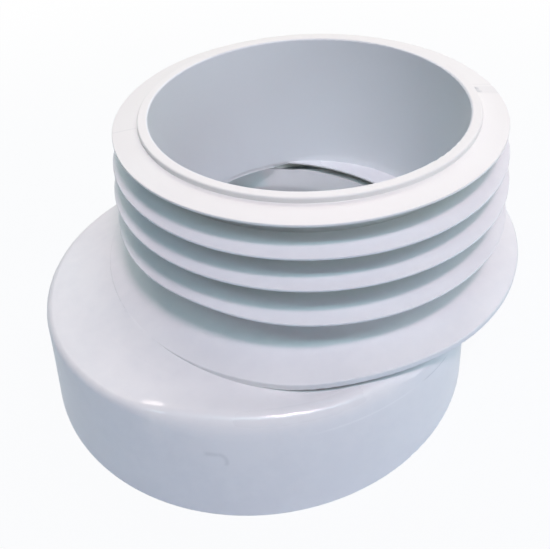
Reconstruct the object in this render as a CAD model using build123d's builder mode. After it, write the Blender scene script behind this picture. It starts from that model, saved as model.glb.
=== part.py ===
"""Offset toilet pan connector: one soft white moulding that joins a pan's outlet to a soil pipe.

The cup below slips over the pan's outlet and the finned spigot above pushes into the pipe.
The spigot's axis stands to one side of the cup's axis, so the connector takes up a misaligned pipe.
The origin is the centre of the cup's mouth, +Z runs up towards the spigot, and +X points the way
the spigot is set over.
"""

import os

from build123d import *

# The two axes
offset = 24.4  # spigot axis from cup axis

# Spigot that enters the soil pipe
bore_radius = 45.0  # waterway
tube_wall = 3.0
spigot_top = 77.5  # end of the tube
rim_round = 0.5  # rounding of the tube's end

# Sealing fins: edge radius, and depth of the top edge below the spigot's end
fin_edges = [(55.2, 2.2), (56.7, 10.6), (58.1, 19.2), (59.1, 29.8)]
fin_rise = 0.9  # how far a fin's root stands above its edge
fin_edge_thickness = 0.7
fin_root_thickness = 2.6
fin_edge_round = 0.25

# Flange under the fins, flat below and conical above
flange_radius = 65.1
flange_lift = 1.9  # flange's underside above the height of the cup's shoulder
flange_edge_thickness = 2.2
flange_rise = 2.8  # how far the flange's root stands above its edge
flange_edge_round = 0.45

# Cup that slips over the pan's outlet
cup_foot_radius = 66.7
cup_taper = 3.4  # how much the radius narrows from the foot to the shoulder
cup_shoulder_height = 29.7  # where the side would meet the top, without the rounding
cup_top_rise = 4.15  # how far the hollowed top climbs from the shoulder to the flange's near rim
cup_wall = 1.8
shoulder_round = 4.0
foot_round = 0.8

# Inside of the cup
ceiling_drop = 0.9  # ceiling below the height of the cup's shoulder
ceiling_round = 2.5

# Floor of the bore, where it overhangs the cup: a thin lip, a groove under it, and a base
floor_rise = 0.9  # lip's top above the height of the cup's shoulder
lip_thickness = 0.6
lip_reach = 0.2  # how far the lip's edge stands inside the cup's inner side
groove_height = 3.0
groove_depth = 1.4  # how far the groove stands outside the bore
base_thickness = 1.6
throat_depth = 4.8  # how far the throat's straight wall reaches down from the lip's top
throat_margin = 0.5  # how far the throat stands outside the bore

# Sealing sleeve, turned in from the cup's mouth
sleeve_pocket = 1.8  # gap between the top of the cup's inner side and the sleeve
sleeve_wall = 1.6
sleeve_height = 17.5
sleeve_round = 0.5
mouth_web = 2.4  # height of the web that joins the sleeve to the cup's side

# Seal fins in the sleeve, which grip the pan's outlet
seal_radius = 47.5
seal_fin_heights = [5.5, 15.5]  # underside of each tip
seal_fin_rise = 2.5  # how far a tip stands above its root
seal_tip_thickness = 1.6
seal_root_thickness = 2.6

# Values worked out from the sizes above
tube_radius = bore_radius + tube_wall
spigot_axis = Axis((offset, 0, 0), (0, 0, 1))
root_radius = bore_radius + tube_wall / 2  # where the fins and the flange are rooted in the tube
cup_shoulder_radius = cup_foot_radius - cup_taper
cup_draft = cup_taper / cup_shoulder_height
cup_top_height = cup_shoulder_height + cup_top_rise
flange_underside = cup_shoulder_height + flange_lift
flange_edge_top = flange_underside + flange_edge_thickness
flange_near_reach = flange_radius - offset  # flange's rim from the cup's axis, where it is nearest
ceiling_height = cup_shoulder_height - ceiling_drop
floor_height = cup_shoulder_height + floor_rise
groove_top = floor_height - lip_thickness
base_top = groove_top - groove_height
base_underside = base_top - base_thickness
cavity_foot_radius = cup_foot_radius - cup_wall
cavity_top_radius = cavity_foot_radius - cup_draft * ceiling_height
lip_radius = cavity_top_radius - lip_reach
sleeve_radius = cavity_top_radius - sleeve_pocket
sleeve_inner_radius = sleeve_radius - sleeve_wall
seal_root_radius = sleeve_radius - sleeve_wall / 2

with BuildPart() as connector:

    # Cup: a drafted side, and a top that is level at the shoulder and curls up towards the flange
    shoulder = (cup_shoulder_radius, cup_shoulder_height)
    with BuildSketch(Plane.XZ) as cup_section:
        with BuildLine():
            Polyline((0, cup_top_height), (0, 0), (cup_foot_radius, 0), shoulder)
            TangentArc(shoulder, (flange_near_reach, cup_top_height), tangent=(-1, 0))
            Line((flange_near_reach, cup_top_height), (0, cup_top_height))
        make_face()
        fillet(cup_section.vertices().sort_by_distance((cup_foot_radius, 0))[0], foot_round)
        fillet(cup_section.vertices().sort_by_distance(shoulder)[0], shoulder_round)
    revolve(axis=Axis.Z)

    # Spigot: a solid post on the offset axis, with the flange and the fins around it
    with BuildSketch(Plane.XY.offset(base_underside)):
        with Locations((offset, 0)):
            Circle(tube_radius)
    extrude(amount=spigot_top - base_underside)

    with BuildSketch(Plane.XZ) as flange_section:
        with Locations((offset, 0)):
            Polygon(
                (root_radius, flange_underside),
                (flange_radius, flange_underside),
                (flange_radius, flange_edge_top),
                (root_radius, flange_edge_top + flange_rise),
                align=None,
            )
        fillet(flange_section.vertices().sort_by(Axis.X)[-2:], flange_edge_round)
    revolve(axis=spigot_axis)

    for edge_radius, edge_depth in fin_edges:
        edge_height = spigot_top - edge_depth
        with BuildSketch(Plane.XZ) as fin_section:
            with Locations((offset, 0)):
                Polygon(
                    (root_radius, edge_height + fin_rise - fin_root_thickness),
                    (edge_radius, edge_height - fin_edge_thickness),
                    (edge_radius, edge_height),
                    (root_radius, edge_height + fin_rise),
                    align=None,
                )
            fillet(fin_section.vertices().sort_by(Axis.X)[-2:], fin_edge_round)
        revolve(axis=spigot_axis)

    # Waterway through the spigot, down to the lip that overhangs the cup
    with BuildSketch(Plane.XY.offset(floor_height)):
        with Locations((offset, 0)):
            Circle(bore_radius)
    extrude(amount=spigot_top - floor_height, mode=Mode.SUBTRACT)
    fillet(connector.edges().group_by(Axis.Z)[-1], rim_round)

    # Hollow of the cup, rounded under the shoulder
    with BuildSketch(Plane.XZ) as cavity_section:
        Polygon(
            (0, 0),
            (cavity_foot_radius, 0),
            (cavity_top_radius, ceiling_height),
            (0, ceiling_height),
            align=None,
        )
        corner = (cavity_top_radius, ceiling_height)
        fillet(cavity_section.vertices().sort_by_distance(corner)[0], ceiling_round)
    revolve(axis=Axis.Z, mode=Mode.SUBTRACT)

    # Throat: under the bore, the lip and the hollow's rounding are cut back to a straight wall
    with BuildSketch(Plane.XY.offset(floor_height - throat_depth)):
        with Locations((offset, 0)):
            Circle(bore_radius + throat_margin)
        Circle(lip_radius, mode=Mode.INTERSECT)
    extrude(amount=throat_depth, mode=Mode.SUBTRACT)

    # Groove under the lip, open to the throat
    with BuildSketch(Plane.XY.offset(base_top)):
        with Locations((offset, 0)):
            Circle(bore_radius + groove_depth)
        Circle(sleeve_radius, mode=Mode.SUBTRACT)
    extrude(amount=groove_height, mode=Mode.SUBTRACT)

    # Sealing sleeve, joined to the cup's side at the mouth
    with BuildSketch(Plane.XZ) as sleeve_section:
        Polygon(
            (sleeve_inner_radius, 0),
            (cup_foot_radius - cup_wall / 2, 0),
            (cup_foot_radius - cup_wall / 2, mouth_web),
            (sleeve_radius, mouth_web),
            (sleeve_radius, sleeve_height),
            (sleeve_inner_radius, sleeve_height),
            align=None,
        )
        fillet(sleeve_section.vertices().group_by(Axis.Y)[-1], sleeve_round)
        fillet(sleeve_section.vertices().sort_by_distance((sleeve_inner_radius, 0))[0], foot_round)
    revolve(axis=Axis.Z)

    # Seal fins, which lean up towards the cup's axis
    for tip_height in seal_fin_heights:
        with BuildSketch(Plane.XZ):
            Polygon(
                (seal_root_radius, tip_height - seal_fin_rise),
                (seal_root_radius, tip_height - seal_fin_rise + seal_root_thickness),
                (seal_radius, tip_height + seal_tip_thickness),
                (seal_radius, tip_height),
                align=None,
            )
        revolve(axis=Axis.Z)

connector.part.label = "connector"
os.makedirs("parts", exist_ok=True)
export_step(connector.part, "parts/connector.step")
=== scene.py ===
"""Studio scene for the offset pan connector: the soft moulding, its plastic, light and camera."""

from functools import reduce
from operator import mul

import bpy
import numpy as np
from mathutils import Matrix


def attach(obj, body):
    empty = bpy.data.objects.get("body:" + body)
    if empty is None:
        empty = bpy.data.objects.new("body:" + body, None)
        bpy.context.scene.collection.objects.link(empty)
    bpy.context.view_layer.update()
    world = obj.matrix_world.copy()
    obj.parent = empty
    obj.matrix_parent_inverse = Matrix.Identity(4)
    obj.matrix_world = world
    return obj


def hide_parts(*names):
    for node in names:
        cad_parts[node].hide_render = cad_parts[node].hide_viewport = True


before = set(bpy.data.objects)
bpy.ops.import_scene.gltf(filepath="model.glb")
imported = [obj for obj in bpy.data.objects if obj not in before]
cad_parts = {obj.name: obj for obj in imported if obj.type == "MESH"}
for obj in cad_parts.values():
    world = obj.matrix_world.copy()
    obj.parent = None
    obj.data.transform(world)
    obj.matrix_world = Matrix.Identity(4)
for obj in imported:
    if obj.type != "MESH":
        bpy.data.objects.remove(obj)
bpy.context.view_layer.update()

MM = 0.001

# Level directions of the picture, to its right and towards the camera, and the upright one
RIGHTWARD = np.array([0.79971, -0.60039, 0.0])
FORWARD = np.array([-0.60039, -0.79971, 0.0])
UPWARD = np.array([0.0, 0.0, 1.0])

# Sizes of the moulding that its bends and marks refer to, in millimetres
OFFSET = 24.4
TUBE_RADIUS = 48.0
FLANGE_RADIUS = 65.1
FLANGE_EDGE_TOP = 33.8
FLANGE_FOOT = 31.6
LOW_FIN_RADIUS = 59.1
SHOULDER_RADIUS = 63.3
SHOULDER_HEIGHT = 29.7
SHOULDER_ROUND = 4.0
TOP_HOLLOW_RADIUS = 63.6

# How far the cup's side spreads for each step down
CUP_DRAFT = 0.1145

# Distances from the cup's axis between which the cup's wall starts, in millimetres
WALL_STARTS = (60.0, 60.8)

# Room for rounding where a point is sorted by the flange's rim or by a level face, in millimetres
RIM_SLACK = 0.05
FACE_SLACK = 0.1

# Least length to divide by, and least height to take a turn from, in millimetres
LEAST_LENGTH = 1.0
LEAST_HEIGHT = 1e-6

# Flange's sag and lift: depth, heights in millimetres, and degrees round the spigot
SAG_DEPTH = 2.2
SAG_ANGLES = (-110.0, 0.0, 40.0, 66.0)
TOP_HEIGHTS = (18.0, 27.0)
SAG_HEIGHTS = (*TOP_HEIGHTS, 38.0, 43.0)
FLANGE_LIFT = 0.5
FLANGE_LIFT_ANGLES = (76.0, 10.0)

# Gap under the rim: depth, degrees round the spigot, and distances from the spigot's axis
GAP_DEPTH = 0.9
GAP_ANGLES = (39.0, 54.0, 70.0, 85.0)
GAP_RADII = (50.0, 56.0)

# Web up to the rim: degrees, heights, the share that the rim's face closes, and where it is more
WEB_ANGLES = (-75.0, -55.0, 0.0, 10.0)
WEB_HEIGHTS = (27.0, 29.0)
WEB_PAST_TUBE = 1.0
WEB_CLOSES = 0.93
WEB_CLOSES_MORE = 0.05
WEB_MORE_ANGLES = (-52.0, -42.0)

# Crisper shoulder: its share, what it loses, and the degrees from -X towards -Y for both
CRISP_SHARE = 0.38
CRISP_LOSS = 0.33
CRISP_LOSS_BEARINGS = (20.0, 45.0)
CRISP_START_BEARINGS = (-95.0, -75.0)

# Rounding of the shoulder: its middle, skin, and reach each way from the corner, in millimetres
ROUND_MIDDLE_IN = 3.6
ROUND_SKIN = 0.3
ROUND_INWARD = 4.4
ROUND_DOWN = 4.6
ROUND_UP = 0.4

# Wider shoulder at the front, in millimetres, with its bearing and the cosines where it fades
SHOULDER_WIDER = 4.0
SHOULDER_STANDS = 1.0
TOP_DRAWN_IN = 10.3
SIDE_DRAWN_DOWN = 17.0
WIDE_PAST_TUBE = 4.0
WIDE_BEARING = 0.978 * FORWARD + 0.208 * RIGHTWARD
WIDE_COSINES = (0.67, 0.95)

# Lowest fin's lift, and waves of all thin edges: depth, count round the spigot, shift with height
FIN_LIFT = 1.4
FIN_LIFT_ANGLES = (20.0, 16.0)
FIN_HEIGHTS = (42.0, 45.0)
LOW_FIN_HEIGHTS = (*FIN_HEIGHTS, 49.0, 51.0)
FIN_WAVES = ((0.10, 3.0, 0.21), (0.06, 7.0, -0.35))

# Oval of the cup, in millimetres: how far its shoulder, its foot and its left and right sides move
OVAL_FRONT = 3.9
OVAL_BACK = 1.2
OVAL_LEAN = 0.9
FOOT_FRONT = 0.75
RIGHT_OUT = 0.8
LEFT_HOLLOW = 0.8

# Places where the oval starts or fades: across the picture, in height, along X and past the tube
LEAN_FRONT = (-35.0, 15.0)
RIGHT_OUT_SIDE = (0.0, 60.0)
LEFT_HOLLOW_SIDE = (40.0, 62.0)
OVAL_TOP_HEIGHTS = (23.0, 26.0)
OVAL_TUBE_HEIGHTS = (23.0, 25.0)
OVAL_FLANGE_FOOT = 31.0
OVAL_ENDS = (47.0, 55.0)
OVAL_PAST_TUBE = (TUBE_RADIUS + 0.6, TUBE_RADIUS + 6.0)

# Edges sharper than this stay crisp, in degrees
CRISP_EDGE = 32.0

# Zones of the plastic: products of earlier zones and of steps from 0 to 1, in millimetres
ZONES = (
    ("cup", ("height", 32.5, 30.5)),
    ("behind", ("front", 10.0, -5.0)),
    ("left_gloss", ("hull", 58.0, 59.6), ("height", 20.5, 24.5), "cup", ("from_glint", 4.0, 1.5)),
    ("right_gloss", ("hull", 57.0, 59.2), ("height", 26.2, 28.2), "cup",
     ("side", -18.0, 4.0), ("side", 44.0, 18.0)),
    # Painted light: the cup's inner wall at the back is coloured paler, as if lit through the bore
    ("cavity", "behind", ("cup_radius", 63.4, 62.8),
     ("height", 17.5, 19.0), ("height", 28.8, 27.8)),
    # Painted shade: the cavity wall beside the groove, tinted teal and darker where the bore's edge
    # shades it
    ("shaded_wedge_beside_groove", "cavity", ("spigot_radius", 48.2, 50.2)),
    # Painted shade: the groove under the lip's edge, coloured near black where it lies in shadow
    ("groove", "behind", ("spigot_radius", 47.0, 46.7), ("cup_radius", 59.0, 63.5),
     ("height", 27.05, 27.3), ("groove_shade_roof", 30.35, 30.15)),
    # Painted light: the groove's end is tinted paler, where the wall there is lit
    ("groove_end", "behind", ("spigot_radius", 47.0, 46.7), ("spigot_radius", 45.2, 45.8),
     ("height", 27.8, 28.4), ("cup_radius", 65.0, 62.0)),
    ("lip_shade", "behind", ("height", 26.8, 27.0), ("height", 27.6, 27.3),
     ("spigot_radius", 44.4, 45.4), ("cup_radius", 60.6, 62.6), ("cup_radius", 66.5, 64.5)),
    # Painted light: the bore is tinted cooler, for the bluish light inside it
    ("bore", ("spigot_radius", 45.6, 45.0), ("height", 30.0, 31.2)),
    # Painted shade: the tube's face between the fins, darker and greenish where the fins shade it
    ("shaded_recess", ("spigot_radius", 46.8, 47.6), ("spigot_radius", 52.5, 49.0),
     ("height", 73.5, 72.5), ("height", 40.0, 44.0)),
    # Painted light: the top face and the tube's end are tinted warmer, so that they come out
    # neutral under the lamps' cooler light
    ("top", ("height", 73.6, 74.2), ("spigot_radius", 45.2, 45.7)),
    ("top_fin", ("height", 74.2, 74.6), ("spigot_radius", 48.0, 48.4)),
    ("dark_stretch", ("side", 44.0, 47.0), ("side", 54.0, 52.0)),
    ("pale_stretch", ("side", 10.0, 22.0), ("side", 46.0, 38.0)),
)

# Colours of the clouded plastic, then of the zones in the order in which they lie over it; the zone
# colours are painted light and shade
CLOUD_DARK = (0.845, 0.850, 0.862, 1.0)
CLOUD_PALE = (0.885, 0.886, 0.890, 1.0)
ZONE_COLOURS = (
    # Painted light: cooler, bluish inside the bore
    ("bore", (0.876, 0.903, 0.925, 1.0)),
    # Painted light: paler on the cavity wall at the back
    ("cavity", (0.940, 0.942, 0.950, 1.0)),
    # Painted shade: teal on the shaded wedge of the cavity wall
    ("shaded_wedge_beside_groove", (0.820, 0.925, 0.935, 1.0)),
    # Painted light: paler at the groove's end
    ("groove_end", (0.970, 0.985, 0.990, 1.0)),
    # Painted shade: near black in the groove and on the lip's outer strip, where the gap lies in
    # shadow
    ("groove", (0.300, 0.330, 0.290, 1.0)),
    ("lip_shade", (0.130, 0.150, 0.150, 1.0)),
    # Painted shade: darker and greenish between the fins
    ("shaded_recess", (0.780, 0.808, 0.775, 1.0)),
    # Painted light: warmer on the top face
    ("top", (0.880, 0.872, 0.850, 1.0)),
)

# Middle of the shoulder's glint at the left, and how much the hull allows for the front's pull
GLINT_LEFT = 26.0
HULL_PULL = 0.062

# Narrowing inwards of the groove's painted shade: its slope, the distances where it acts, and how
# far back it starts
GROOVE_SLOPE = 0.36
GROOVE_NARROW = 60.5
GROOVE_WIDE = 66.0
GROOVE_BACK = (-57.0, -59.5)

# Shares of clouds and mottle in the plastic's clouding, and the noise levels that it runs between
CLOUD_SHARE = 0.62
MOTTLE_SHARE = 0.38
CLOUD_LEVELS = (0.36, 0.64)
NOISE_MIDDLE = 0.5

# Roughness of the plastic and what the mottle, cup, marks and glossy shoulder change in it
ROUGHNESS = 0.50
MOTTLE_ROUGHNESS = 0.10
CUP_SMOOTHER = 0.08
MARKS_ROUGHER = 0.15
GLOSS_SMOOTHER = 0.22

# Coat of the plastic and of its glint at the left, and the shares of the fine relief
COAT = 0.05
GLINT_COAT = 0.85
GRAIN_RELIEF = 0.55
MOTTLE_RELIEF = 0.45
MARKS_SUNK = 0.6

# Marks: colours, and how strongly each kind shows
MARK_COLOUR = (0.46, 0.48, 0.50, 1.0)
PALE_LINE_COLOUR = (0.970, 0.970, 0.970, 1.0)
HAIRLINE_SHOWS = 0.12
RUBBED_SHOWS = 0.10
NICK_SHOWS = 0.75
GATE_SHOWS = 0.22
DARK_LINE_SHOWS = 0.30
PALE_LINE_SHOWS = 0.45

# Hairlines on the top fin: distance aside where one fades in, distance out, and degrees
HAIRLINE = (0.5, 0.1)
PAST_AXIS = (0.0, 1.0)
PARTING_ANGLE = 151.0
SCUFF_EDGES = (-34.5, -29.0)

# Scuff between two of them: degrees of its middle, half widths, nick's reach and roughness levels
SCUFF_ANGLE = -33.0
RUBBED_WIDTH = (2.8, 2.0)
NICK_WIDTH = (2.4, 1.0)
NICK_REACH = (51.2, 49.4)
NICK_LEVELS = (0.20, 0.60)

# Gate mark on the cup's side: degrees, height, ring, line width and the ends of its parts
GATE_ANGLE = -136.3
GATE_HEIGHT = 18.1
GATE_RADIUS = 2.2
GATE_LINE = (0.9, 0.1)
GATE_MIDDLE = 0.3
GATE_RING_FOOT = (-1.4, -0.4)
GATE_TAIL_END = (-4.2, -2.8)
GATE_OUT = (59.0, 60.0)

# Thin line on the cup's side: height, line width and how far forward it starts
SIDE_LINE_HEIGHT = 24.0
SIDE_LINE_WIDTH = (0.4, 0.1)
SIDE_LINE_FRONT = (20.0, 30.0)

# Studio floor, a hair under the foot: height and half width, in metres
FLOOR = -0.0001
FLOOR_HALF = 3.0

# Paper: its own colour, the share of plain white seen near the object and added farther off
PAPER_COLOUR = (0.61, 0.74, 0.91, 1.0)
PAPER_WHITE = 0.93
PAPER_WHITER = 0.07
PAPER_FAR = (0.12, 0.45)

# World: what is seen directly, and the faint light of the air
WHITE = (1.0, 1.0, 1.0, 1.0)
AIR_COLOUR = (0.75, 0.88, 1.0, 1.0)
AIR_STRENGTH = 0.03

# Camera: place in millimetres, sight line, roll in degrees, lens and film width, nearest distance
CAMERA_PLACE = np.array([-86.605, -127.416, 161.062])
CAMERA_SIGHT = np.array([0.45131, 0.60114, -0.65951])
CAMERA_ROLL = -3.77
CAMERA_LENS = 42.15
FILM_WIDTH = 36.0
CAMERA_NEAREST = 0.01

# Middle of the connector, that the lamps face, and their distance from it, in metres
LAMP_AIM = np.array([0.02, 0.0, 0.04])
LAMP_DISTANCE = 0.75

# Lamps: name, level direction, degrees above it, level and upright side, watts and colour
LAMPS = (
    ("key", 0.956 * FORWARD + 0.292 * RIGHTWARD, 65.0, (0.14, 0.07), 2.06, (1.0, 0.70, 0.82)),
    ("front_strip", FORWARD, 60.0, (1.0, 0.07), 2.15, (0.58, 0.90, 0.98)),
    ("back_strip", FORWARD, 125.0, (1.0, 0.08), 1.9, (1.0, 0.875, 0.83)),
    ("low_back_strip", FORWARD, 140.0, (1.0, 0.08), 1.19, (0.82, 1.0, 0.95)),
    ("right_panel", RIGHTWARD, 50.0, (0.45, 0.30), 0.45, (1.0, 0.93, 0.78)),
    ("low_right_panel", 0.985 * RIGHTWARD + 0.174 * FORWARD, 8.0, (0.45, 0.30), 1.18,
     (0.72, 0.87, 0.96)),
)


def ramp(values, low, high):
    """Smooth step: 0 below low, 1 above high, and 3t^2 - 2t^3 of the way t between them."""
    way = np.clip((values - low) / (high - low), 0.0, 1.0)
    return way * way * (3.0 - 2.0 * way)


def plateau(values, start, full, fading, end):
    """Smooth window: it rises from 0 at start to 1 at full, and falls from fading to 0 at end."""
    return ramp(values, start, full) * (1.0 - ramp(values, fading, end))


def hump(values, middle, spread):
    """Bell curve: e to the power -((value - middle) / spread)^2."""
    return np.exp(-(((values - middle) / spread) ** 2))


def level_part(x, y, way):
    """How far a place lies along a level direction: x and y times its parts, added up."""
    return x * float(way[0]) + y * float(way[1])


def round_spigot(x, y):
    """Distance from the spigot's axis, and the angle round it in degrees, from -X towards -Y."""
    return np.hypot(x - OFFSET, y), np.degrees(np.arctan2(-y, OFFSET - x))


def share_out(radius, edge):
    """0 at the tube, growing evenly to 1 at an edge's distance from the spigot's axis."""
    return np.clip((radius - TUBE_RADIUS) / (edge - TUBE_RADIUS), 0.0, 1.0)


def past_rim(radius):
    """True past the flange's rim."""
    return radius > FLANGE_RADIUS + RIM_SLACK


def off_flange(radius, z):
    """True under the flange's foot and past its rim."""
    return (z < FLANGE_FOOT - FACE_SLACK) | past_rim(radius)


def rim_reach(angle):
    """Distance of the flange's rim from the cup's axis, at an angle round the spigot."""
    turn = np.radians(angle)
    return np.hypot(OFFSET - FLANGE_RADIUS * np.cos(turn), FLANGE_RADIUS * np.sin(turn))


def share_past_rim(x, y, angle):
    """1 at the flange's rim and beneath it, falling evenly to 0 at the cup's shoulder."""
    span = np.maximum(SHOULDER_RADIUS - rim_reach(angle), LEAST_LENGTH)
    return np.clip((SHOULDER_RADIUS - np.hypot(x, y)) / span, 0.0, 1.0)


def flange_sag(x, y, z):
    """How far the flange and the cup's top under it sink, in millimetres.

    The sag is full from 0 to 40 degrees round the spigot and fades to nothing at -110 and at 66
    degrees. The flange lifts a little round 76 degrees. Across the flange the sag grows evenly from
    the tube to the rim, and from the rim it fades again towards the cup's shoulder.
    """
    radius, angle = round_spigot(x, y)
    depth = SAG_DEPTH * plateau(angle, *SAG_ANGLES)
    depth = depth - FLANGE_LIFT * hump(angle, *FLANGE_LIFT_ANGLES)
    inner = share_out(radius, FLANGE_RADIUS)
    share = np.where(past_rim(radius), share_past_rim(x, y, angle), inner)
    return depth * share * plateau(z, *SAG_HEIGHTS)


def rim_gap(x, y, z):
    """How far the cup's top sinks under the front of the flange's rim, in millimetres.

    The gap is open from 54 to 70 degrees round the spigot and closes at 39 and at 85. It is full
    under the rim, fades towards the tube, and from the rim it fades evenly towards the cup's
    shoulder.
    """
    radius, angle = round_spigot(x, y)
    window = plateau(angle, *GAP_ANGLES) * ramp(z, *TOP_HEIGHTS)
    under = share_past_rim(x, y, angle) * ramp(radius, *GAP_RADII)
    return GAP_DEPTH * window * under * off_flange(radius, z)


def rim_web(x, y, z):
    """How far the cup's top rises to run into the flange's rim, in millimetres.

    It holds from -55 to 0 degrees round the spigot. The rim's face nearly closes up to its upper
    edge, and the cup's top rises with it and fades to nothing at the shoulder. The top's own height
    is a round hollow: its radius less the square root of the radius squared less the distance from
    the shoulder squared.
    """
    radius, angle = round_spigot(x, y)
    span = SHOULDER_RADIUS - rim_reach(angle)
    hollow = TOP_HOLLOW_RADIUS - np.sqrt(np.maximum(TOP_HOLLOW_RADIUS ** 2 - span ** 2, 0.0))
    window = plateau(angle, *WEB_ANGLES) * ramp(z, *WEB_HEIGHTS)
    edge = FLANGE_EDGE_TOP - FACE_SLACK
    closing = WEB_CLOSES + WEB_CLOSES_MORE * ramp(angle, *WEB_MORE_ANGLES)
    closed = closing * np.maximum(edge - z, 0.0)
    face = np.where(radius > TUBE_RADIUS + WEB_PAST_TUBE, closed, 0.0)
    top = np.maximum(edge - SHOULDER_HEIGHT - hollow, 0.0) * share_past_rim(x, y, angle)
    return window * np.where(past_rim(radius), top, face) * (z < edge)


def tight_shoulder(x, y, z):
    """Share of the way to the shoulder's corner that a point of its rounding moves.

    The move makes the shoulder crisper. The share is largest at the left. It fades to a small one
    between 20 and 45 degrees from -X towards -Y, and to nothing at the back, between -75 and -95
    degrees.
    """
    reach = np.hypot(x, y)
    bearing = np.degrees(np.arctan2(-y, -x))
    share = CRISP_SHARE - CRISP_LOSS * ramp(bearing, *CRISP_LOSS_BEARINGS)
    share = share * ramp(bearing, *CRISP_START_BEARINGS)
    over = reach - SHOULDER_RADIUS + ROUND_MIDDLE_IN
    from_middle = np.hypot(over, z - SHOULDER_HEIGHT + SHOULDER_ROUND)
    rounding = from_middle > SHOULDER_ROUND - ROUND_SKIN
    rounding = rounding & (reach > SHOULDER_RADIUS - ROUND_INWARD)
    level = (z > SHOULDER_HEIGHT - ROUND_DOWN) & (z < SHOULDER_HEIGHT + ROUND_UP)
    return np.where(rounding & level, share, 0.0)


def wide_shoulder(x, y, z):
    """How far the front shoulder's points move outwards from the cup's axis and up, in millimetres.

    The rounding there is wider, by the same amount on both faces of the wall. A point of the
    rounding at a turn from the upright moves inwards by the widening times one less the turn's
    sine, and down by the widening times one less its cosine. The cup's top draws in and its side
    slides down to meet it, both evenly less with the distance. The front shoulder also stands up a
    little. All this is full within 18 degrees of a bearing a little right of the picture's front,
    and fades to nothing at 48 degrees from it.
    """
    radius = round_spigot(x, y)[0]
    reach = np.maximum(np.hypot(x, y), LEAST_LENGTH)
    over = reach - SHOULDER_RADIUS + SHOULDER_ROUND
    up = z - SHOULDER_HEIGHT + SHOULDER_ROUND
    turn = np.arctan2(np.maximum(over, 0.0), np.maximum(up, LEAST_HEIGHT))
    on_top = np.clip(1.0 + over / TOP_DRAWN_IN, 0.0, 1.0) * (radius > TUBE_RADIUS + WIDE_PAST_TUBE)
    on_top = on_top * off_flange(radius, z)
    on_side = np.clip(1.0 + up / SIDE_DRAWN_DOWN, 0.0, 1.0) * ramp(reach, *WALL_STARTS)
    share = np.where(up >= 0.0, on_top, on_side)
    window = ramp(level_part(x, y, WIDE_BEARING) / reach, *WIDE_COSINES) * share
    outward = np.where(up >= 0.0, np.sin(turn) - 1.0, CUP_DRAFT) * SHOULDER_WIDER
    upward = np.where(up >= 0.0, np.cos(turn) - 1.0, -1.0) * SHOULDER_WIDER + SHOULDER_STANDS
    return window * outward, window * upward


def fin_lift(x, y, z):
    """How far the lowest fin bends up, in millimetres: a bell round 20 degrees, more outwards."""
    radius, angle = round_spigot(x, y)
    lift = FIN_LIFT * hump(angle, *FIN_LIFT_ANGLES)
    return lift * share_out(radius, LOW_FIN_RADIUS) * plateau(z, *LOW_FIN_HEIGHTS)


def fin_wave(x, y, z):
    """Slight wave of thin edges, in millimetres: sines round the spigot, shifting with height."""
    radius, angle = round_spigot(x, y)
    turn = np.radians(angle)
    wave = sum(depth * np.sin(count * turn + shift * z) for depth, count, shift in FIN_WAVES)
    return wave * share_out(radius, LOW_FIN_RADIUS) * ramp(z, *FIN_HEIGHTS)


def cup_oval(x, y, z):
    """How far the cup's shell moves towards the camera and to the picture's right, in millimetres.

    The soft cup stands a little oval. Its shoulder is pulled in at the front and, less, at the
    back. It grows at both sides and leans to the right, all evenly with the height above the foot.
    The foot's front and right side stand out a little. Over the cup's top the move grows evenly
    from the flange's rim to the shoulder. The sleeve, the flange and the spigot stay, and so does
    the cup's side below the spigot.
    """
    radius, angle = round_spigot(x, y)
    front = level_part(x, y, FORWARD)
    side = level_part(x, y, RIGHTWARD)
    climb = np.clip(z / SHOULDER_HEIGHT, 0.0, 1.0)
    shell = np.maximum(ramp(np.hypot(x, y), *WALL_STARTS), ramp(z, *OVAL_TOP_HEIGHTS))
    shell = shell * (1.0 - ramp(x, *OVAL_ENDS))
    shell = shell * np.maximum(ramp(radius, *OVAL_PAST_TUBE), 1.0 - ramp(z, *OVAL_TUBE_HEIGHTS))
    shell = shell * (past_rim(radius) | (z < OVAL_FLANGE_FOOT))
    share = shell * (1.0 - share_past_rim(x, y, angle))
    ahead = np.maximum(front, 0.0)
    pull = (OVAL_BACK * np.maximum(-front, 0.0) - OVAL_FRONT * ahead) / SHOULDER_RADIUS
    forward = climb * pull + FOOT_FRONT * (1.0 - climb) * ahead / SHOULDER_RADIUS
    hollow_left = LEFT_HOLLOW * ramp(-side, *LEFT_HOLLOW_SIDE) * climb * (1.0 - climb)
    lean = OVAL_LEAN * ramp(front, *LEAN_FRONT) + side / SHOULDER_RADIUS + hollow_left
    right = climb * lean + RIGHT_OUT * ramp(side, *RIGHT_OUT_SIDE)
    return share * forward, share * right


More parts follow.
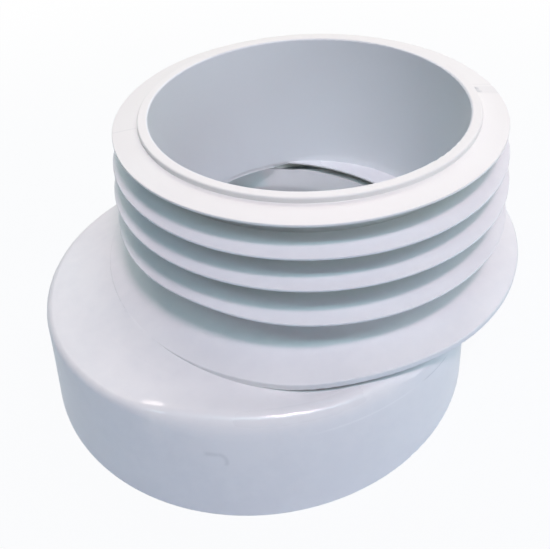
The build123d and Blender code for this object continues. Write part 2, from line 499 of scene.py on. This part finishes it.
def soft_moulding(node):
    """The connector as the soft plastic holds it: the node's surface with its points moved.

    The shoulder's rounding is made crisper at the left and wider at the front first. Then a point
    sinks by the flange's sag and the rim's gap, rises by the rim's web, the lowest fin's lift and
    the edges' wave, and moves level by the cup's oval.
    """
    solid = node.data
    flat = np.empty(3 * len(solid.vertices), np.float32)
    solid.vertices.foreach_get("co", flat)
    corners = np.empty(len(solid.loops), np.int32)
    solid.loops.foreach_get("vertex_index", corners)
    points, merged = np.unique(flat.reshape(-1, 3), axis=0, return_inverse=True)
    faces = merged.reshape(-1)[corners].reshape(-1, 3)
    x, y, z = (points.astype(float) / MM).T
    share = tight_shoulder(x, y, z)
    spread = 1.0 + share * (SHOULDER_RADIUS / np.maximum(np.hypot(x, y), LEAST_LENGTH) - 1.0)
    x, y, z = x * spread, y * spread, z + share * (SHOULDER_HEIGHT - z)
    outward, upward = wide_shoulder(x, y, z)
    spread = 1.0 + outward / np.maximum(np.hypot(x, y), LEAST_LENGTH)
    points = np.stack([x * spread, y * spread, z + upward], axis=1)
    x, y, z = points.T
    rise = rim_web(x, y, z) + fin_lift(x, y, z) + fin_wave(x, y, z)
    rise = rise - flange_sag(x, y, z) - rim_gap(x, y, z)
    forward, right = cup_oval(x, y, z)
    points = points + forward[:, None] * FORWARD + right[:, None] * RIGHTWARD
    points = points + rise[:, None] * UPWARD
    mesh = bpy.data.meshes.new("soft_connector")
    mesh.from_pydata((points * MM).tolist(), [], faces.tolist())
    mesh.shade_smooth()
    mesh.set_sharp_from_angle(angle=np.radians(CRISP_EDGE))
    piece = bpy.data.objects.new("soft_connector", mesh)
    bpy.context.scene.collection.objects.link(piece)
    crisp = piece.modifiers.new("flat_faces_stay_flat", "WEIGHTED_NORMAL")
    crisp.keep_sharp = True
    crisp.weight = 100
    return piece


class Wire:
    """A socket in a node tree. Sums and products add Math nodes, and make() adds other nodes."""

    def __init__(self, tree, socket=None):
        self.tree = tree
        self.socket = socket

    def make(self, kind, settings=None, out=0, **values):
        """Add a node of a kind, set it up, fill its sockets with values or wires, give one output.

        A socket goes by its name, with _ for a space, or by s and its number.
        """
        node = self.tree.nodes.new(kind)
        for name, value in (settings or {}).items():
            setattr(node, name, value)
        for name, value in values.items():
            key = int(name[1:]) if name[1:].isdigit() else name.replace("_", " ")
            if isinstance(value, Wire):
                self.tree.links.new(value.socket, node.inputs[key])
            else:
                node.inputs[key].default_value = value
        return Wire(self.tree, node.outputs[out])

    def end_in(self, finish):
        """Link this shader to an output node's surface."""
        self.tree.links.new(self.socket, finish.inputs["Surface"])

    def maths(self, operation, first, second=0.0):
        """A Math node on one or two values."""
        return self.make("ShaderNodeMath", {"operation": operation}, s0=first, s1=second)

    def __add__(self, other):
        return self.maths("ADD", self, other)

    __radd__ = __add__

    def __sub__(self, other):
        return self.maths("SUBTRACT", self, other)

    def __rsub__(self, other):
        return self.maths("SUBTRACT", other, self)

    def __mul__(self, other):
        return self.maths("MULTIPLY", self, other)

    __rmul__ = __mul__

    def __abs__(self):
        return self.maths("ABSOLUTE", self)

    def larger(self, other):
        """The larger of this and another value."""
        return self.maths("MAXIMUM", self, other)

    def smaller(self, other):
        """The smaller of this and another value."""
        return self.maths("MINIMUM", self, other)

    def length_with(self, other):
        """Length of the level vector that has this and another wire as its parts."""
        return self.maths("SQRT", self * self + other * other)

    def step(self, low, high):
        """Smooth step from 0 at low to 1 at high, or from 1 to 0 where low is the larger."""
        start, end = (0.0, 1.0) if low < high else (1.0, 0.0)
        return self.make("ShaderNodeMapRange", {"interpolation_type": "SMOOTHSTEP"}, Value=self,
                         From_Min=min(low, high), From_Max=max(low, high),
                         To_Min=start, To_Max=end)

    def step_mm(self, low, high):
        """Smooth step between two lengths in millimetres."""
        return self.step(low * MM, high * MM)

    def tint(self, dark, pale):
        """Colour between two colours, with this wire as the share of the second."""
        return self.make("ShaderNodeMix", {"data_type": "RGBA"}, out=2, s0=self, s6=dark, s7=pale)


def bare_tree(owner, output):
    """The emptied node tree of a material or world, as a wire, and its new output node."""
    owner.use_nodes = True
    owner.node_tree.nodes.clear()
    return Wire(owner.node_tree), owner.node_tree.nodes.new(output)


def object_axes(tree, axes):
    """Place on the object as a vector wire, and its parts along the named axes."""
    spot = tree.make("ShaderNodeTexCoord", out="Object")
    return spot, *(tree.make("ShaderNodeSeparateXYZ", out=axis, Vector=spot) for axis in axes)


def plastic_zones(measures):
    """Wires of the zones by name: each is the product of earlier zones and steps on measures."""
    zones = {}
    for name, *factors in ZONES:
        wires = [zones[factor] if isinstance(factor, str)
                 else measures[factor[0]].step_mm(*factor[1:]) for factor in factors]
        zones[name] = reduce(mul, wires)
    return zones


def soft_white_plastic():
    """Soft white moulding plastic with faint clouding, fine grain, a satin cup, a few marks, and
    painted light and shade.
    """
    material = bpy.data.materials.new("soft_white_plastic")
    tree, finish = bare_tree(material, "ShaderNodeOutputMaterial")
    spot, x, y, z = object_axes(tree, "XYZ")
    over = x - OFFSET * MM
    front = level_part(x, y, FORWARD)
    side = level_part(x, y, RIGHTWARD)
    cup_radius = x.length_with(y)
    spigot_radius = over.length_with(y)
    # The groove's painted shade ends lower nearer the cup's axis, at the far back
    narrowing = GROOVE_WIDE * MM - cup_radius.larger(GROOVE_NARROW * MM).smaller(GROOVE_WIDE * MM)
    zones = plastic_zones({
        "height": z,
        "front": front,
        "side": side,
        "cup_radius": cup_radius,
        "spigot_radius": spigot_radius,
        "hull": cup_radius + HULL_PULL * front.larger(0.0),
        "from_glint": abs(side + GLINT_LEFT * MM),
        "groove_shade_roof": z + GROOVE_SLOPE * narrowing * front.step_mm(*GROOVE_BACK),
    })

    clouds = tree.make("ShaderNodeTexNoise", Vector=spot, Scale=38.0, Detail=3.0, Roughness=0.5)
    mottle = tree.make("ShaderNodeTexNoise", Vector=spot, Scale=260.0, Detail=4.0, Roughness=0.6)
    grain = tree.make("ShaderNodeTexNoise", Vector=spot, Scale=2600.0, Detail=2.0, Roughness=0.5)
    clouding = (CLOUD_SHARE * clouds + MOTTLE_SHARE * mottle).step(*CLOUD_LEVELS)
    colour = clouding.tint(CLOUD_DARK, CLOUD_PALE)
    # Lay on the zone colours: painted light in the bore, cavity, groove's end and top, painted
    # shade in the groove, wedge, under the lip and between the fins
    for name, shade in ZONE_COLOURS:
        colour = zones[name].tint(colour, shade)

    line = thin_side_line(z, front)
    marks = hairline(over, y, PARTING_ANGLE) * zones["top_fin"] * HAIRLINE_SHOWS
    marks = marks.larger(scuff(tree, spot, over, y, spigot_radius) * zones["top_fin"])
    marks = marks.larger(gate_mark(x, y, z) * GATE_SHOWS)
    # The thin side line is darker in one stretch and paler in another
    marks = marks.larger(line * zones["dark_stretch"] * DARK_LINE_SHOWS)
    colour = marks.tint(colour, MARK_COLOUR)
    colour = (line * zones["pale_stretch"] * PALE_LINE_SHOWS).tint(colour, PALE_LINE_COLOUR)

    roughness = ROUGHNESS + MOTTLE_ROUGHNESS * (mottle - NOISE_MIDDLE)
    roughness = roughness - CUP_SMOOTHER * zones["cup"] + MARKS_ROUGHER * marks
    roughness = roughness - GLOSS_SMOOTHER * zones["right_gloss"]
    coat = COAT + GLINT_COAT * zones["left_gloss"]
    relief = GRAIN_RELIEF * grain + MOTTLE_RELIEF * mottle - MARKS_SUNK * marks
    bump = tree.make("ShaderNodeBump", Strength=0.08, Distance=0.0003, Height=relief)
    surface = tree.make("ShaderNodeBsdfPrincipled", Base_Color=colour, Roughness=roughness,
                        Coat_Weight=coat, Coat_Roughness=0.10, IOR=1.48, Normal=bump)
    surface.end_in(finish)
    return material


def from_half_plane(x, y, azimuth):
    """Distances along and aside from an upright half plane at an azimuth in degrees."""
    turn = np.radians(azimuth)
    along = level_part(x, y, (np.cos(turn), np.sin(turn)))
    aside = level_part(x, y, (-np.sin(turn), np.cos(turn)))
    return along, aside


def hairline(over, y, azimuth):
    """Hairline where parts of the mould met: near a half plane at an azimuth round the spigot."""
    along, aside = from_half_plane(over, y, azimuth)
    return abs(aside).step_mm(*HAIRLINE) * along.step_mm(*PAST_AXIS)


def scuff(tree, spot, over, y, spigot_radius):
    """Rubbed patch on the top fin near -32 degrees: two hairlines, the face between, a nick."""
    first, second = (hairline(over, y, azimuth) for azimuth in SCUFF_EDGES)
    along, aside = from_half_plane(over, y, SCUFF_ANGLE)
    outer = along.step_mm(*PAST_AXIS)
    rubbed = abs(aside).step_mm(*RUBBED_WIDTH) * outer * RUBBED_SHOWS
    nick = abs(aside).step_mm(*NICK_WIDTH) * outer * spigot_radius.step_mm(*NICK_REACH)
    rough = tree.make("ShaderNodeTexNoise", Vector=spot, Scale=900.0, Detail=2.0)
    nick = nick * rough.step(*NICK_LEVELS) * NICK_SHOWS
    return (first.larger(second) * HAIRLINE_SHOWS).larger(rubbed).larger(nick)


def gate_mark(x, y, z):
    """Hook-shaped mark on the cup's side, about a point 18.1 mm up, at -136.3 degrees.

    It is the upper right quarter of a ring of radius 2.2 mm, with a level tail 4 mm long to the
    ring's left.
    """
    out, aside = from_half_plane(x, y, GATE_ANGLE)
    rise = z - GATE_HEIGHT * MM
    quarter = aside.step_mm(-GATE_MIDDLE, GATE_MIDDLE) * rise.step_mm(*GATE_RING_FOOT)
    ring = abs(aside.length_with(rise) - GATE_RADIUS * MM).step_mm(*GATE_LINE) * quarter
    leftward = aside.step_mm(*GATE_TAIL_END) * aside.step_mm(GATE_MIDDLE, -GATE_MIDDLE)
    tail = abs(rise - GATE_RADIUS * MM).step_mm(*GATE_LINE) * leftward
    return ring.larger(tail) * out.step_mm(*GATE_OUT)


def thin_side_line(z, front):
    """Thin line on the front of the cup's side, 24 mm up."""
    from_line = abs(z - SIDE_LINE_HEIGHT * MM)
    return from_line.step_mm(*SIDE_LINE_WIDTH) * front.step_mm(*SIDE_LINE_FRONT)


def seen_directly(tree):
    """1 for rays from the camera, from a reflection or through a clear part, and 0 for others."""
    rays = ("Is Camera Ray", "Is Glossy Ray", "Is Transmission Ray")
    return reduce(Wire.larger, [tree.make("ShaderNodeLightPath", out=ray) for ray in rays])


def white_paper():
    """Pale studio floor that looks near white, keeps the shadow, and is whiter farther away."""
    material = bpy.data.materials.new("white_paper")
    tree, finish = bare_tree(material, "ShaderNodeOutputMaterial")
    x, y = object_axes(tree, "XY")[1:]
    share = PAPER_WHITE + PAPER_WHITER * x.length_with(y).step(*PAPER_FAR)
    sheet = tree.make("ShaderNodeBsdfDiffuse", Color=PAPER_COLOUR)
    glow = tree.make("ShaderNodeEmission", Color=WHITE, Strength=1.0)
    mixed = tree.make("ShaderNodeMixShader", s0=seen_directly(tree) * share, s1=sheet, s2=glow)
    mixed.end_in(finish)
    return material


def level_side(sight):
    """Level direction to the right of a sight line."""
    side = np.cross(sight, UPWARD)
    return side / np.linalg.norm(side)


def aimed(name, data, place, sight, right):
    """New object in the scene at a place, looking along its sight line, with its right given."""
    turn = np.eye(4)
    turn[:3, 0] = right
    turn[:3, 1] = np.cross(right, sight)
    turn[:3, 2] = -sight
    turn[:3, 3] = place
    thing = bpy.data.objects.new(name, data)
    thing.matrix_world = Matrix(turn.tolist())
    bpy.context.scene.collection.objects.link(thing)
    return thing


def place_camera():
    """Camera at the photo's viewing angle, built from its sight line and a small roll about it."""
    roll = np.radians(CAMERA_ROLL)
    side = level_side(CAMERA_SIGHT)
    right = np.cos(roll) * side + np.sin(roll) * np.cross(side, CAMERA_SIGHT)
    lens = bpy.data.cameras.new("camera")
    lens.sensor_width = FILM_WIDTH
    lens.sensor_fit = "HORIZONTAL"
    lens.lens = CAMERA_LENS
    lens.clip_start = CAMERA_NEAREST
    bpy.context.scene.camera = aimed("camera", lens, CAMERA_PLACE * MM, CAMERA_SIGHT, right)


def soft_lamp(name, level, elevation, size, power, colour):
    """Rectangular lamp that faces the connector.

    It stands at the lamps' distance from the connector's middle, at an elevation in degrees above
    a level direction, and the first side of its size lies level.
    """
    turn = np.radians(elevation)
    reach = np.cos(turn) * level + np.sin(turn) * UPWARD
    data = bpy.data.lights.new(name, "AREA")
    data.shape = "RECTANGLE"
    data.size = size[0]
    data.size_y = size[1]
    data.energy = power
    data.color = colour
    aimed(name, data, LAMP_AIM + LAMP_DISTANCE * reach, -reach, level_side(-reach))


def studio():
    """Floor, lamps, world and colour handling."""
    sheet = bpy.data.meshes.new("studio_floor")
    half = FLOOR_HALF
    corners = [(-half, -half, FLOOR), (half, -half, FLOOR),
               (half, half, FLOOR), (-half, half, FLOOR)]
    sheet.from_pydata(corners, [], [(0, 1, 2, 3)])
    sheet.materials.append(white_paper())
    floor = bpy.data.objects.new("studio_floor", sheet)
    bpy.context.scene.collection.objects.link(floor)

    for lamp in LAMPS:
        soft_lamp(*lamp)

    world = bpy.data.worlds.new("studio_world")
    tree, finish = bare_tree(world, "ShaderNodeOutputWorld")
    white = tree.make("ShaderNodeBackground", Color=WHITE, Strength=1.0)
    air = tree.make("ShaderNodeBackground", Color=AIR_COLOUR, Strength=AIR_STRENGTH)
    tree.make("ShaderNodeMixShader", s0=seen_directly(tree), s1=air, s2=white).end_in(finish)
    bpy.context.scene.world = world
    bpy.context.scene.view_settings.view_transform = "Standard"


place_camera()
studio()
connector = soft_moulding(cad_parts["connector"])
connector.data.materials.append(soft_white_plastic())
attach(connector, "root")
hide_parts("connector")
